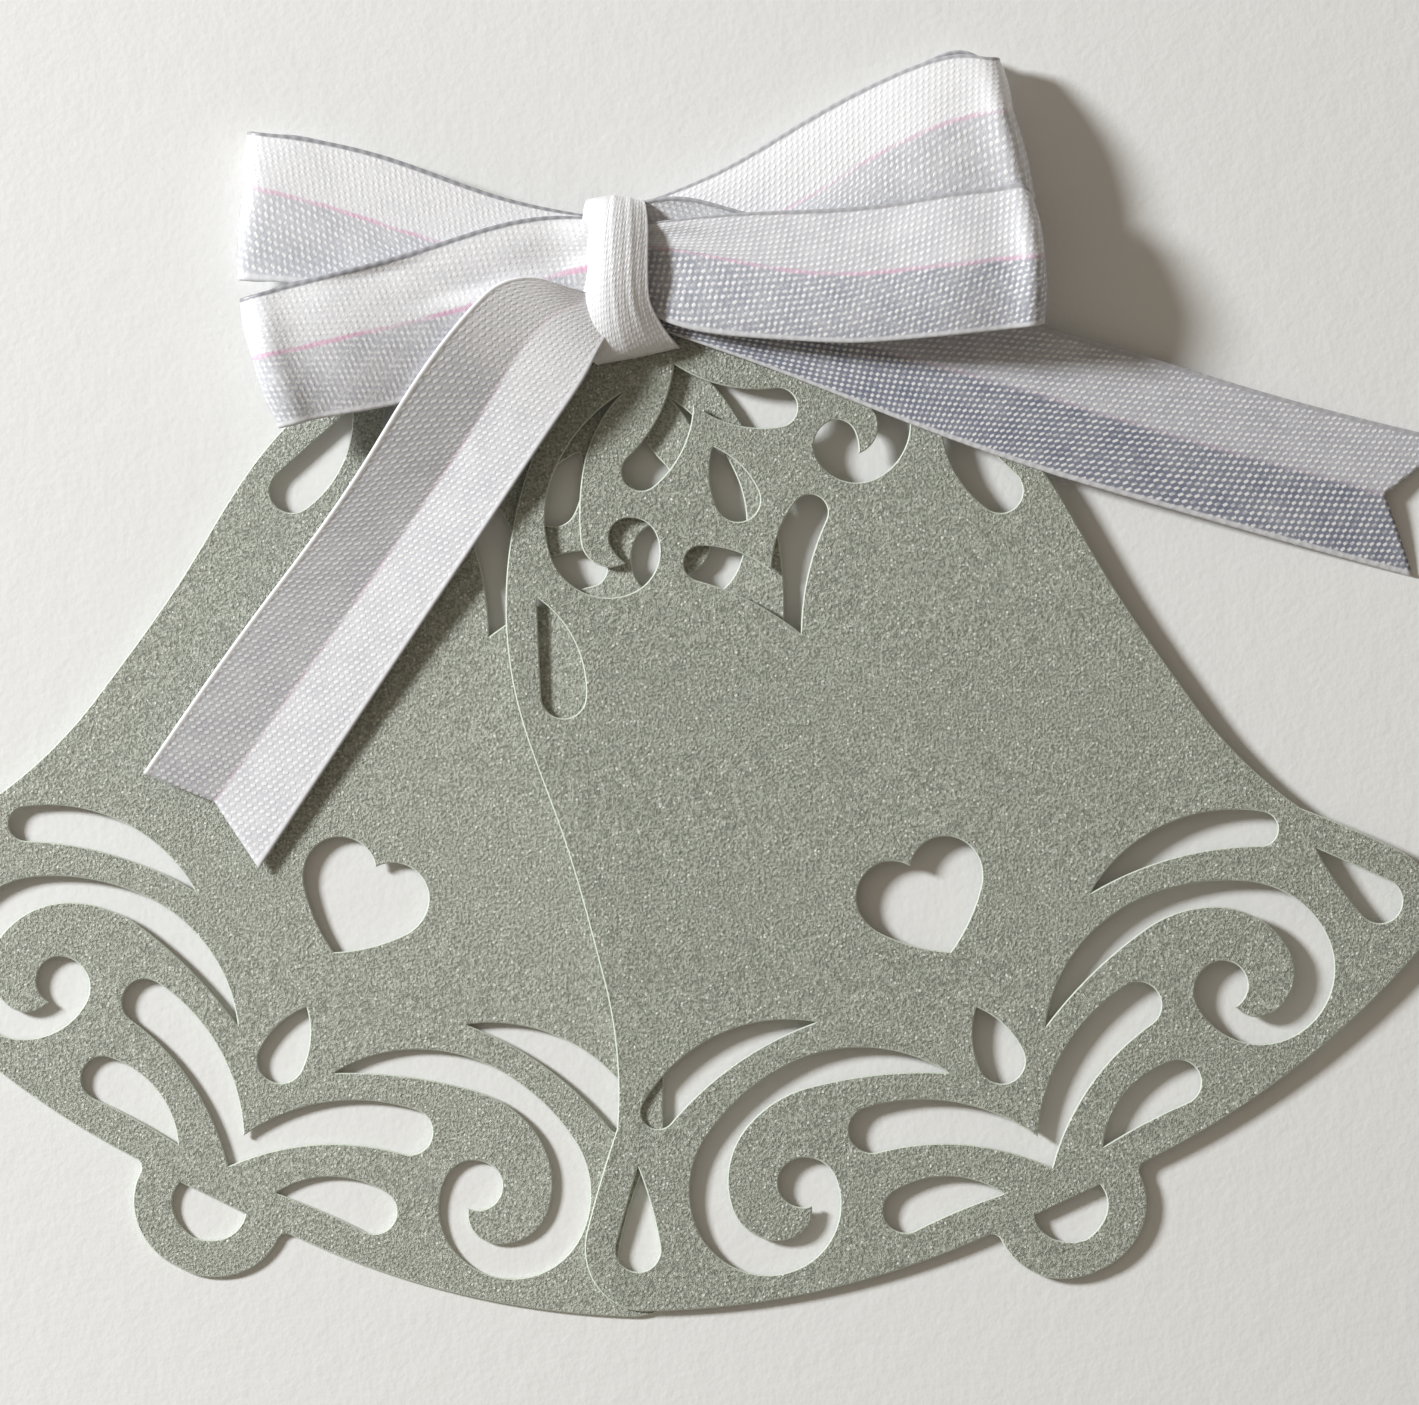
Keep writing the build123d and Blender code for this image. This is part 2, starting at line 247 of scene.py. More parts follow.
def bell_outline():
    """Right side of a bell from its crown ring down to the middle of the clapper, and its mirror image."""
    run = lengths(FLANK)
    flank = [complex(*point) for point in spline(run, FLANK, np.linspace(0, run[-1], FLANK_POINTS))]
    side = [point for point in flank if abs(point) > CROWN_RING]
    turns = np.linspace(math.pi / 2, cmath.phase(side[0]), RING_POINTS)[:-1]
    ring = [CROWN_RING * cmath.exp(1j * turn) for turn in turns]
    for heading, ends in (WAIST, LIP, CLAPPER):
        side += follow([side[-1]], heading / abs(heading), ends)[1:]
    return whole(ring + side)


def bell_lines():
    """All lines that a bell is cut along: the outline, the crown hole and the cut-outs."""
    turns = np.linspace(0, math.tau, HOLE_POINTS + 1)[:-1]
    lines = [distinct(bell_outline()), [CROWN_HOLE * cmath.exp(1j * turn) for turn in turns]]
    lines += [distinct(line) for line in (HEART, HALF_MOON, *LEAVES, *ARMS)]
    for line in (*SIDE_DROPS, SMALL_SCROLL, GREAT_SCROLL):
        lines += [distinct(line), distinct(mirrored(line))]
    return [np.array(line) for line in lines]


def inside(points, line):
    """Which of the points are inside a closed line."""
    hit = np.zeros(len(points), bool)
    for a, b in zip(line, np.roll(line, -1)):
        if a.imag != b.imag:
            crosses = (a.imag > points.imag) != (b.imag > points.imag)
            share = (points.imag - a.imag) / (b.imag - a.imag)
            hit ^= crosses & (points.real < (b.real - a.real) * share + a.real)
    return hit


def on_card(points, lines):
    """Which of the points are inside the first line, the outline, and outside all the others."""
    kept = inside(points, lines[0])
    for line in lines[1:]:
        kept &= ~inside(points, line)
    return kept


def inset(line, way):
    """A cut line moved by the rounding of its edge: inward for a way of 1, and outward for -1."""
    ahead, behind = np.roll(line, -1) - line, line - np.roll(line, 1)
    mean = ahead / abs(ahead) + behind / abs(behind)
    area = (line.conjugate() * np.roll(line, -1)).imag.sum()
    return line + 1j * mean / np.maximum(abs(mean), TINY) * (way if area > 0 else -way) * CUT_ROUND


def card_plan(lines):
    """Flat face of a bell inside its rounded edges, as corners and triangles.

    With it come the edges along the cuts, as pairs of cut points, and each cut point's corner."""
    insets = [inset(line, 1 if i == 0 else -1) for i, line in enumerate(lines)]
    cuts = np.concatenate(insets)
    edges, first = [], 0
    for line in insets:
        edges += [(first + k, first + (k + 1) % len(line)) for k in range(len(line))]
        first += len(line)
    across, up = (np.arange(low, high + GRID_STEP / 2, GRID_STEP) for low, high in (GRID_ACROSS, GRID_UP))
    grid = np.array([complex(x, y) for x in across for y in up])
    clear = np.array([abs(cuts - point).min() > GRID_STEP / 3 for point in grid])
    flat = np.concatenate((cuts, grid[clear & on_card(grid, insets)]))
    hull_triangles, merge_within = 0, 1e-7
    found = geometry.delaunay_2d_cdt([Vector((p.real, p.imag)) for p in flat], edges, [],
                                     hull_triangles, merge_within)
    corners = np.array([complex(*point) for point in found[0]])
    faces = np.array(found[2])
    faces = faces[on_card(corners[faces].mean(axis=1), insets)]
    corner_of = {ids[0]: i for i, ids in enumerate(found[3]) if ids}
    return corners, faces, edges, corner_of


BELL_LINES = bell_lines()
CARD_PLAN = card_plan(BELL_LINES)

# How a bell lies: its turn about the tie, how far the rear one has slipped down its axis, how much the
# card arches between crown and rim, and how far the front bell stands off the rear one at its crown
REAR_TURN = -26.2
REAR_SLIP = 0.45
FRONT_TURN = 25.2
FRONT_LIFT = 0.60
ARCH = 0.30
BELL_REACH = 70.0


def bell_mesh(name, turn, slip, base, lift):
    """One bell: card with rounded cut edges. Base is the height of its middle layer at the tie."""
    corners, faces, edges, corner_of = CARD_PLAN
    rim = np.concatenate(BELL_LINES)
    layers = (corners, rim, rim, corners)
    half = CARD_THICKNESS / 2
    levels = (half, half - CUT_ROUND, CUT_ROUND - half, -half)
    height = np.concatenate([np.full(len(layer), level) for layer, level in zip(layers, levels)])
    placed = (np.concatenate(layers) - 1j * slip) * cmath.exp(1j * math.radians(turn))
    down = np.clip(-placed.imag / BELL_REACH, 0, 1)
    rise = base + placed.imag * CARD_LEAN + ARCH * np.sin(math.pi * down) + lift * (1 - down) ** 2
    points = np.stack((TIE[0] + placed.real, TIE[1] + placed.imag, height + rise), axis=1) * MM

    upper_rim = len(corners)
    lower_rim = upper_rim + len(rim)
    back = lower_rim + len(rim)
    flats = [tuple(face) for face in faces.tolist()]
    flats += [tuple(v + back for v in face[::-1]) for face in faces.tolist()]
    walls = []
    for a, b in edges:
        walls += [(corner_of[a], corner_of[b], upper_rim + b, upper_rim + a),
                  (upper_rim + a, upper_rim + b, lower_rim + b, lower_rim + a),
                  (lower_rim + a, lower_rim + b, back + corner_of[b], back + corner_of[a])]
    made = bpy.data.meshes.new(name)
    made.from_pydata(points.tolist(), [], flats + walls)
    made.polygons.foreach_set("material_index", [0] * len(flats) + [1] * len(walls))
    face_outward(made)
    made.set_sharp_from_angle(angle=SHARP)
    return add_object(name, made)


rear = bell_mesh("rear_bell_card", REAR_TURN, REAR_SLIP, CARD_REST + CARD_THICKNESS / 2, 0.0)
front = bell_mesh("front_bell_card", FRONT_TURN, 0.0, CARD_REST + CARD_THICKNESS * 1.5, FRONT_LIFT)

# Ribbon: width, thickness, and the thickness and width of the bead along its edges
RIBBON_WIDTH = 10.0
RIBBON_SKIN = 0.14
BEAD_SKIN = 0.24
BEAD_WIDTH = 0.36
HALF = RIBBON_WIDTH / 2

# Fineness of its mesh, which keeps the bow under 200,000 triangles: spacing along a stretch, along the
# wrap and along the turn, the fewest steps of a stretch, and the rows of points across, as shares of
# half the width, close together at the bead
RIBBON_STEP = 0.37
WRAP_STEP = 0.25
TURN_STEP = 0.2
FEWEST_STEPS = 8
EDGE_ROWS = (1.0, 0.99, 0.972, 0.95, 0.925, 0.9)
INNER_ROWS = (*np.linspace(0.86, 0.06, 18), 0.03)
HALF_ROWS = EDGE_ROWS + INNER_ROWS
ROWS = np.array([-share for share in HALF_ROWS] + [0.0] + list(reversed(HALF_ROWS))) * HALF

# How far from the crease, on each side, the looks of one half give way to those of the other
HALVES_MEET = 0.3

# Least length that a normal is divided by
SHORTEST_NORMAL = 1e-9

ribbon_points, ribbon_faces, ribbon_weave, ribbon_tone_and_painted_shade = [], [], [], []


def skin(across):
    """Half the ribbon's thickness at a distance from its middle, with a bead at each edge."""
    inward = HALF - np.abs(across)
    bead = BEAD_SKIN * np.sqrt(np.clip(1 - (inward / (BEAD_WIDTH / 2) - 1) ** 2, 0, 1))
    return np.maximum(bead, RIBBON_SKIN * smooth(inward, 0, BEAD_WIDTH / 2)) / 2


def upward(grid):
    """Normals of a surface of rows of points, on the side that faces up near its start."""
    normal = np.cross(np.gradient(grid, axis=0), np.gradient(grid, axis=1))
    normal = normal / np.maximum(np.linalg.norm(normal, axis=2, keepdims=True), SHORTEST_NORMAL)
    third = (len(grid) - 1) // 3
    return normal * (1 if normal[:third, :, 2].mean() > 0 else -1)


def ring(front, back):
    """Rows that go round the ribbon: along its front, and back along its other face."""
    return np.concatenate((front, back[:, -2:0:-1]), axis=1)


def ribbon_looks(distance, across, dark=(0, 0), lines=(0, 0), pink=0, hem=(0.2, 0.2), bright_start=0):
    """Looks of each point: how deep the painted shade on its ground is, how much of its weave shows as
    lines, how pink its crease is, and how deep the painted shade on its edge is.

    The painted shade of the ground, the lines and the painted shade of the edge are for one half and the
    other. Over an onset near the knot the painted shade of the ground comes in only by and by."""
    other = smooth(across, -HALVES_MEET, HALVES_MEET)
    painted_shade_fade = smooth(distance, bright_start / 2, bright_start) if bright_start else 1

    def blend(pair):
        return pair[0] + (pair[1] - pair[0]) * other

    return np.stack((blend(dark) * painted_shade_fade, blend(lines), np.full_like(across, pink), blend(hem)), axis=2)


def ribbon_sides(base, count):
    """Faces of a stretch of ribbon: its skin all round, and a cap at each end."""
    columns = len(ROWS)
    around = 2 * columns - 2
    faces = []
    for i in range(count):
        a, b = base + i * around, base + (i + 1) * around
        for j in range(around):
            k = (j + 1) % around
            faces.append((a + j, a + k, b + k, b + j))
    for row in (base, base + count * around):
        ends = [(row + j, row + (around - j) % around) for j in range(columns)]
        caps = [tuple(dict.fromkeys((a, b, d, c))) for (a, b), (c, d) in zip(ends, ends[1:])]
        faces += [cap for cap in caps if len(cap) > 2]
    return faces


def strip(rails, start, step=RIBBON_STEP, notch=0, relief=None, arched=False, **looks):
    """Adds a stretch of ribbon between three lines: one edge, the middle crease and the other edge.

    Start is the distance along the whole ribbon. Notch cuts a V into the last end, as deep as it
    says. Relief lifts the surface off those lines, by the distance along and across it. An arched
    stretch rounds over its middle line, where another has a crease there."""
    edge_a, middle, edge_b = rails
    run = lengths(middle)
    count = max(FEWEST_STEPS, int(run[-1] / step))
    along = np.linspace(0, run[-1], count + 1)
    across = np.repeat(ROWS[None, :], count + 1, axis=0)
    share = np.abs(ROWS) / HALF
    cut = run[-1] - notch * (1 - share)
    distance = along[:, None] * (cut / run[-1])[None, :]
    mid = spline(run, middle, distance)
    side = np.where((ROWS < 0)[None, :, None], spline(run, edge_a, distance), spline(run, edge_b, distance))
    rise = share ** 2 if arched else share
    place = mid + (side - mid) * np.stack((share, share, rise), axis=1)[None]
    if relief is not None:
        place = place + upward(place) * relief(distance, across, run[-1])[..., None]
    shell_half = upward(place) * skin(across)[..., None]

    base = sum(len(points) for points in ribbon_points)
    ribbon_faces.extend(ribbon_sides(base, count))
    ribbon_points.append(ring(place + shell_half, place - shell_half).reshape(-1, 3))
    distance, across = ring(distance, distance), ring(across, across)
    weave = np.stack((start + distance, across, np.zeros_like(across)), axis=2)
    ribbon_weave.append(weave.reshape(-1, 3))
    ribbon_tone_and_painted_shade.append(ribbon_looks(distance, across, **looks).reshape(-1, 4))


# Soft shape of a loop: gathers across each half and how far they reach from the knot, how much the
# halves belly and from where, how far the swell beside the knot reaches, and how far from an edge and
# from the crease such shapes begin
GATHER_WAVES = 2.5
GATHER_REACH = 5.0
BELLY = 0.18
BELLY_START = 6.0
SWELL_REACH = 2.2
EDGE_FADE = 1.0
CREASE_FADE = 1.5


def soft_loop(depth, shift=0.0, fold=None, swell=0.0):
    """Relief of a loop: gathers that spread from the knot, halves that belly a little, a soft fold,
    and a swell of the upper leg beside the knot.

    A fold is the distances along and across of its two ends, its width and its depth."""
    def relief(distance, across, total):
        near = np.minimum(distance, total - distance)
        inner = smooth(HALF - np.abs(across), 0, EDGE_FADE)
        gathers = np.sin(across / HALF * math.pi * GATHER_WAVES + shift)
        lift = depth * np.exp(-near / GATHER_REACH) * gathers * inner
        lift = lift + BELLY * np.sin(np.abs(across) / HALF * math.pi) * smooth(near, 0, BELLY_START)
        lift = lift + swell * np.exp(-(near / SWELL_REACH) ** 2) * (distance < total / 2) * inner
        if fold is not None:
            (from_u, from_v), (to_u, to_v), width, deep = fold
            size = math.hypot(to_u - from_u, to_v - from_v)
            off = ((distance - from_u) * (to_v - from_v) - (across - from_v) * (to_u - from_u)) / size
            lift = lift - deep * np.exp(-(off / width) ** 2) * smooth(-across, 0, CREASE_FADE) * inner
        return lift
    return relief


# Points of a loop's line: angles round its bend, points of each leg, and how many times the bend's
# reach a leg stops before the loop's end
BEND_TURNS = np.radians((80, 55, 28, 0, -28, -55, -80))
LEG_POINTS = 8
LEG_END = 1.2


def loop_line(plan, low_plan, heights, low_heights, bend):
    """One line of a loop: out along its upper leg, round the bend and back along its lower leg."""
    out = np.subtract(plan[-1], plan[-2]) / np.linalg.norm(np.subtract(plan[-1], plan[-2]))
    shares = np.linspace(0, 1 - LEG_END * bend * PIXELS_PER_MM / lengths(plan)[-1], LEG_POINTS)

    def leg(line, rise, leg_shares):
        run = lengths(line)
        return [spot(*spline(run, line, share * run[-1]), rise[0] + (rise[1] - rise[0]) * share)
                for share in leg_shares]

    high, low = heights[1], low_heights[1]
    points = leg(plan, heights, shares)
    for turn in BEND_TURNS:
        back = bend * (1 - math.cos(turn))
        way = (BEND_TURNS[0] - turn) / (2 * BEND_TURNS[0])
        end = np.add(plan[-1], np.subtract(low_plan[-1], plan[-1]) * way) - out * back * PIXELS_PER_MM
        points.append(spot(*end, (high + low) / 2 + (high - low) / 2 * math.sin(turn), high))
    return points + leg(low_plan, low_heights, shares[::-1])


def loop(over, upper, lower, start, bend, lift=(0, 0, 0), root=(0, 0, 0), under=None, **looks):
    """A loop of the bow, from the photographed lines of its upper leg, listed from the knot out.

    Over is one edge, the crease and the other edge; under is the same for the lower leg, where it
    isn't straight below. Upper and lower are the heights of each leg at the knot and at the bend.
    Lift raises one edge, the crease or the other edge at the bend end, and root at the knot. Bend is
    how far the loop's round end reaches."""
    rails = [loop_line(plan, low_plan, (upper[0] + base, upper[1] + rise), (lower[0] + base, lower[1]), bend)
             for plan, low_plan, rise, base in zip(over, under or over, lift, root)]
    strip(rails, start, **looks)


def seen(lines):
    """Lines of photographed points, each with its height above the card."""
    return [[spot(*point) for point in line] for line in lines]


# Loops in the photograph, from the knot out: upper edge, crease and lower edge of the upper leg, and
# for the lower right loop also of its lower leg, which shows above it near the knot
UPPER_LEFT = (
    ((600, 217), (500, 196), (440, 175), (365, 150), (300, 137), (249, 131)),
    ((600, 258), (510, 256), (430, 240), (366, 219), (303, 200), (244, 184)),
    ((600, 296), (520, 306), (430, 300), (350, 290), (300, 284), (238, 280)),
)
UPPER_RIGHT = (
    ((620, 210), (720, 170), (805, 120), (887, 77), (945, 57), (998, 57)),
    ((620, 245), (720, 232), (799, 203), (881, 153), (945, 124), (1013, 108)),
    ((620, 290), (740, 276), (820, 250), (900, 222), (960, 208), (1035, 198)),
)
LOWER_LEFT = (
    ((600, 218), (548, 216), (419, 249), (324, 275), (261, 292), (240, 298)),
    ((600, 262), (530, 284), (456, 310), (336, 339), (290, 350), (252, 358)),
    ((600, 330), (520, 366), (440, 393), (395, 405), (329, 417), (279, 428)),
)
LOWER_RIGHT = (
    ((622, 226), (750, 212), (873, 205), (942, 194), (1000, 185), (1035, 181)),
    ((622, 242), (708, 255), (763, 266), (832, 274), (920, 268), (1048, 255)),
    ((622, 300), (690, 330), (760, 338), (832, 343), (903, 340), (1047, 325)),
)
LOWER_RIGHT_UNDER = (
    ((622, 206), (690, 197), (741, 211), (840, 222), (940, 218), (1026, 210)),
    ((622, 250), (740, 262), (840, 268), (940, 262), (990, 258), (1040, 252)),
    ((622, 300), (760, 330), (860, 336), (950, 330), (1000, 326), (1040, 321)),
)

# The soft fold across the upper half of the lower left loop: its two ends, its width and its depth
LEFT_FOLD = ((15.6, -4.6), (9.0, -0.4), 1.7, 0.5)

# Each loop is given painted shade on the ground of each half and on each edge
# The lower loops lie over the upper ones
loop(
    UPPER_LEFT, upper=(2.1, 1.5), lower=(1.0, 0.35), start=0, bend=1.7, lift=(-0.2, 0.4, -0.2),
    relief=soft_loop(0.10, swell=0.5), dark=(0.0, 0.38), lines=(0.2, 0.2), pink=0.65, hem=(1.0, 0.2),
)
loop(
    UPPER_RIGHT, upper=(1.5, 3.1), lower=(1.0, 0.4), start=60, bend=1.1, lift=(-1.0, 0.9, 0.8),
    relief=soft_loop(0.10, shift=1.0), dark=(0.0, 0.35), lines=(0, 0.3), pink=0.45, hem=(0.8, 0.2),
)
loop(
    LOWER_LEFT, upper=(2.6, 4.3), lower=(2.2, 2.5), start=120, bend=1.7, lift=(-0.3, 0.3, -0.5),
    root=(0, 0, -1.3), relief=soft_loop(0.10, shift=0.6, fold=LEFT_FOLD, swell=0.9),
    dark=(0.06, 0.42), lines=(0.3, 0.5), pink=0.75, hem=(1.0, 0.3),
)
loop(
    LOWER_RIGHT, upper=(2.4, 6.1), lower=(1.9, 3.4), start=180, bend=1.2, lift=(-1.4, 0.0, -0.8),
    root=(0.8, 0.1, -0.3), under=LOWER_RIGHT_UNDER, relief=soft_loop(0.12, shift=2.0),
    dark=(0.26, 0.70), lines=(0, 0.25), pink=0.55, hem=(0.8, 0.4),
)

# Tails in the photograph, from the knot out, each point with its height: one edge, crease and other
# edge, then the depth of the V cut at the end. The left tail's crease is a valley.
RIGHT_TAIL = (
    ((640, 262, 1.6), (760, 272, 1.2), (900, 290, 0.9), (1073, 336, 0.5), (1158, 360, 0.1),
     (1240, 385, -0.2), (1318, 407, -0.5), (1453, 440, -0.9)),
    ((640, 288, 1.7), (760, 316, 1.5), (880, 350, 1.4), (1037, 394, 1.1), (1125, 421, 0.8),
     (1210, 446, 0.5), (1290, 468, 0.2), (1433, 508, -0.35)),
    ((640, 324, 1.3), (760, 365, 1.1), (880, 412, 0.95), (1000, 457, 0.75), (1080, 483, 0.5),
     (1184, 513, 0.1), (1275, 539, -0.25), (1413, 577, -0.9)),
)
RIGHT_TAIL_NOTCH = 3.4
LEFT_TAIL = (
    ((592, 293, 2.9), (568, 287, 3.6), (535, 277, 4.3), (503, 281, 4.6), (478, 299, 4.6),
     (442, 341, 4.3), (409, 388, 3.6), (371, 450, 2.7), (257, 611, 1.5), (143, 773, 1.1)),
    ((600, 298, 2.6), (584, 301, 3.1), (566, 307, 3.5), (548, 318, 3.6), (530, 338, 3.4),
     (507, 371, 2.9), (487, 405, 2.3), (455, 456, 1.5), (331, 636, 0.5), (201, 821, 0.1)),
    ((618, 320, 2.4), (610, 330, 2.7), (604, 341, 2.9), (598, 352, 3.0), (588, 372, 3.0),
     (568, 404, 2.8), (545, 438, 2.4), (512, 488, 1.8), (387, 676, 0.8), (259, 869, 0.4)),
)
LEFT_TAIL_NOTCH = 1.6

# The tails are given painted shade on the ground of each half and on each edge; on the left tail it comes in
# only past its first part near the knot
strip(
    seen(RIGHT_TAIL), start=240, notch=RIGHT_TAIL_NOTCH,
    dark=(0.52, 0.92), lines=(0.1, 0.0), pink=0.15, hem=(0.7, 0.3),
)
strip(
    seen(LEFT_TAIL), start=300, notch=LEFT_TAIL_NOTCH,
    dark=(0.34, 0.18), lines=(0.1, 0.1), pink=0.2, hem=(0.0, 0.35), bright_start=11,
)

# Wrap of the knot in the photograph, from behind its top over it and down, where it fans out and turns
# under. Its fine gathers are two waves, each with its share, its count across a half and its shift;
# they are weaker at the left, and fade at the edges and at the fan's end.
WRAP = (
    ((592, 199, 1.2), (588, 200, 2.0), (585, 206, 2.6), (583, 222, 2.8), (582, 250, 2.8), (582, 277, 2.8),
     (583, 300, 2.8), (585, 325, 2.7), (588, 346, 2.4), (592, 360, 1.8), (597, 364, 1.0)),
    ((614, 196, 1.4), (614, 196, 2.6), (613, 203, 3.8), (612, 222, 4.4), (612, 250, 4.5), (612, 277, 4.4),
     (614, 302, 4.0), (618, 326, 3.4), (624, 344, 2.7), (630, 355, 1.9), (636, 357, 1.0)),
    ((638, 200, 1.2), (643, 201, 2.2), (646, 207, 3.2), (648, 225, 3.8), (648, 250, 3.9), (648, 277, 3.8),
     (650, 300, 3.4), (658, 318, 2.8), (668, 333, 2.2), (677, 344, 1.6), (680, 347, 0.9)),
)
WRAP_WAVES = ((1.0, 4.5, 0.4), (0.7, 8, 1.3))
WRAP_DEPTH = 0.022
WRAP_LEFT_SHARE = 0.3
WRAP_LEFT = (-2, 1)
WRAP_EDGE_FADE = 0.8
WRAP_END_FADE = (1.0, 5.0)


def wrap_relief(distance, across, total):
    """Fine gathers of the wrap, which run round the knot."""
    waves = sum(share * np.sin(across / HALF * math.pi * count + shift) for share, count, shift in WRAP_WAVES)
    fade = smooth(HALF - np.abs(across), 0, WRAP_EDGE_FADE) * smooth(total - distance, *WRAP_END_FADE)
    return WRAP_DEPTH * waves * fade * (WRAP_LEFT_SHARE + (1 - WRAP_LEFT_SHARE) * smooth(across, *WRAP_LEFT))


# The wrap is given painted shade on one edge
strip(
    seen(WRAP), start=350, step=WRAP_STEP, relief=wrap_relief, arched=True,
    lines=(0.2, 0.2), hem=(0.0, 0.25),
)

# Turn: down through both crown holes, across behind the crowns and up outside their edge. A point of
# its way down is how far outward of its inner side it lies, and its height above the card; the way up
# mirrors it.
TURN_MIDDLE = -0.5
TURN_HALF_WIDTH = 1.1
TURN_INNER = 1.03
TURN_OUTER = 4.33
TURN_DOWN = ((0, 1.6), (0, 0.3), (0, -0.45), (0.3, -0.83))
TURN_LOWEST = (2.665, -0.85)
TURN_SIDE = [(TURN_INNER + out, height) for out, height in TURN_DOWN] + [TURN_LOWEST]
TURN_SIDE += [(TURN_OUTER - out, height) for out, height in reversed(TURN_DOWN)]


def turn_line(offset):
    """Line of the turn at a distance from its middle."""
    return [np.array((TIE[0] + TURN_MIDDLE + offset, TIE[1] + y, CARD_TOP + z)) for y, z in TURN_SIDE]


strip([turn_line(offset) for offset in (-TURN_HALF_WIDTH, 0, TURN_HALF_WIDTH)], start=400, step=TURN_STEP)

bow_mesh = bpy.data.meshes.new("satin_bow")
bow_mesh.from_pydata((np.concatenate(ribbon_points) * MM).tolist(), [], ribbon_faces)
# The tone attribute holds each point's painted shade of the ground, its weave lines, its pink thread and the
# painted shade of its edge
for name, kind, field, values in (
    ("weave", "FLOAT_VECTOR", "vector", ribbon_weave),
    ("tone", "FLOAT_COLOR", "color", ribbon_tone_and_painted_shade),
):
    attribute = bow_mesh.attributes.new(name, kind, "POINT")
    attribute.data.foreach_set(field, np.concatenate(values).astype(np.float32).ravel())
face_outward(bow_mesh)
bow = add_object("satin_bow", bow_mesh)


class Shader:
    """A node material, built a node at a time."""

    def __init__(self, name):
        self.material = bpy.data.materials.new(name)
        self.material.use_nodes = True
        self.tree = self.material.node_tree
        self.tree.nodes.clear()

    def node(self, kind, inputs=(), **settings):
        """A node whose inputs are linked to sockets or set to values."""
        made = self.tree.nodes.new(kind)
        for name, value in settings.items():
            setattr(made, name, value)
        for key, value in dict(inputs).items():
            if isinstance(value, bpy.types.NodeSocket):
                self.tree.links.new(value, made.inputs[key])
            else:
                made.inputs[key].default_value = value
        return made

    def math(self, operation, *values, clamp=False):
        """Result of an operation on values."""
        inputs = dict(enumerate(values))
        return self.node("ShaderNodeMath", inputs, operation=operation, use_clamp=clamp).outputs[0]

    def ramp(self, value, low, high, out_low=0.0, out_high=1.0):
        """Smooth step of a value between low and high."""
        inputs = {0: value, 1: low, 2: high, 3: out_low, 4: out_high}
        return self.node("ShaderNodeMapRange", inputs, interpolation_type="SMOOTHSTEP").outputs[0]

    def mix(self, share, first, second):
        """Colour between two."""
        return self.node("ShaderNodeMix", {0: share, 6: first, 7: second}, data_type="RGBA").outputs[2]

    def noise(self, place, scale, detail=2.0, rough=0.5):
        """Cloudy noise, with so many clouds to a unit."""
        inputs = {"Vector": place, "Scale": scale, "Detail": detail, "Roughness": rough}
        return self.node("ShaderNodeTexNoise", inputs).outputs["Fac"]

    def wave(self, place, per_along, per_across):
        """Cosine wave, with so many crests to a millimetre along and across."""
        inputs = {0: place, 1: (math.tau * per_along, math.tau * per_across, 0)}
        turn = self.node("ShaderNodeVectorMath", inputs, operation="DOT_PRODUCT").outputs["Value"]
        return self.math("COSINE", turn)

    def millimetres(self):
        """Place on the object in millimetres."""
        place = self.node("ShaderNodeTexCoord").outputs["Object"]
        return self.node("ShaderNodeVectorMath", {0: place, "Scale": 1 / MM}, operation="SCALE").outputs[0]

    def bump(self, height, depth, strength=1.0):
        """Normal of a surface with a relief as deep as depth says."""
        inputs = {"Height": height, "Distance": depth * MM, "Strength": strength}
        return self.node("ShaderNodeBump", inputs).outputs[0]

    def finish(self, **inputs):
        """The material, from the inputs of its surface."""
        names = {key.replace("_", " "): value for key, value in inputs.items()}
        shader = self.node("ShaderNodeBsdfPrincipled", names)
        self.node("ShaderNodeOutputMaterial", {"Surface": shader.outputs[0]})
        return self.material


# Colours: the deep and the pale tone of each bell's pearl coating, its flecks, and the core of the card.
# Both bells are the same card; the rear bell's pearl is painted lighter, as painted light. The core is
# pale, and made paler still as a painted highlight along the cut edges
REAR_PEARL_PAINTED_LIGHTER = ((0.35, 0.366, 0.312, 1), (0.74, 0.772, 0.676, 1))
FRONT_PEARL = ((0.30, 0.317, 0.266, 1), (0.675, 0.708, 0.617, 1))
FLECK = (1.0, 1.0, 0.94, 1)
PALE_CORE_AND_PAINTED_HIGHLIGHT = ((0.50, 0.56, 0.47, 1), (0.78, 0.83, 0.74, 1))

# Colours of the ribbon: its floats, white and partly a painted highlight; its ground and its edge, each
# plain and in painted shade; its pink thread; and the sheet that it all lies on
FLOAT_WHITE_AND_PAINTED_HIGHLIGHT = (0.92, 0.92, 0.93, 1)
GROUND_AND_PAINTED_SHADE = ((0.85, 0.85, 0.88, 1), (0.20, 0.22, 0.30, 1))
HEM_AND_PAINTED_SHADE = ((0.90, 0.90, 0.92, 1), (0.30, 0.30, 0.33, 1))
PINK_THREAD = (0.84, 0.48, 0.66, 1)
SHEET = (0.86, 0.86, 0.85, 1)


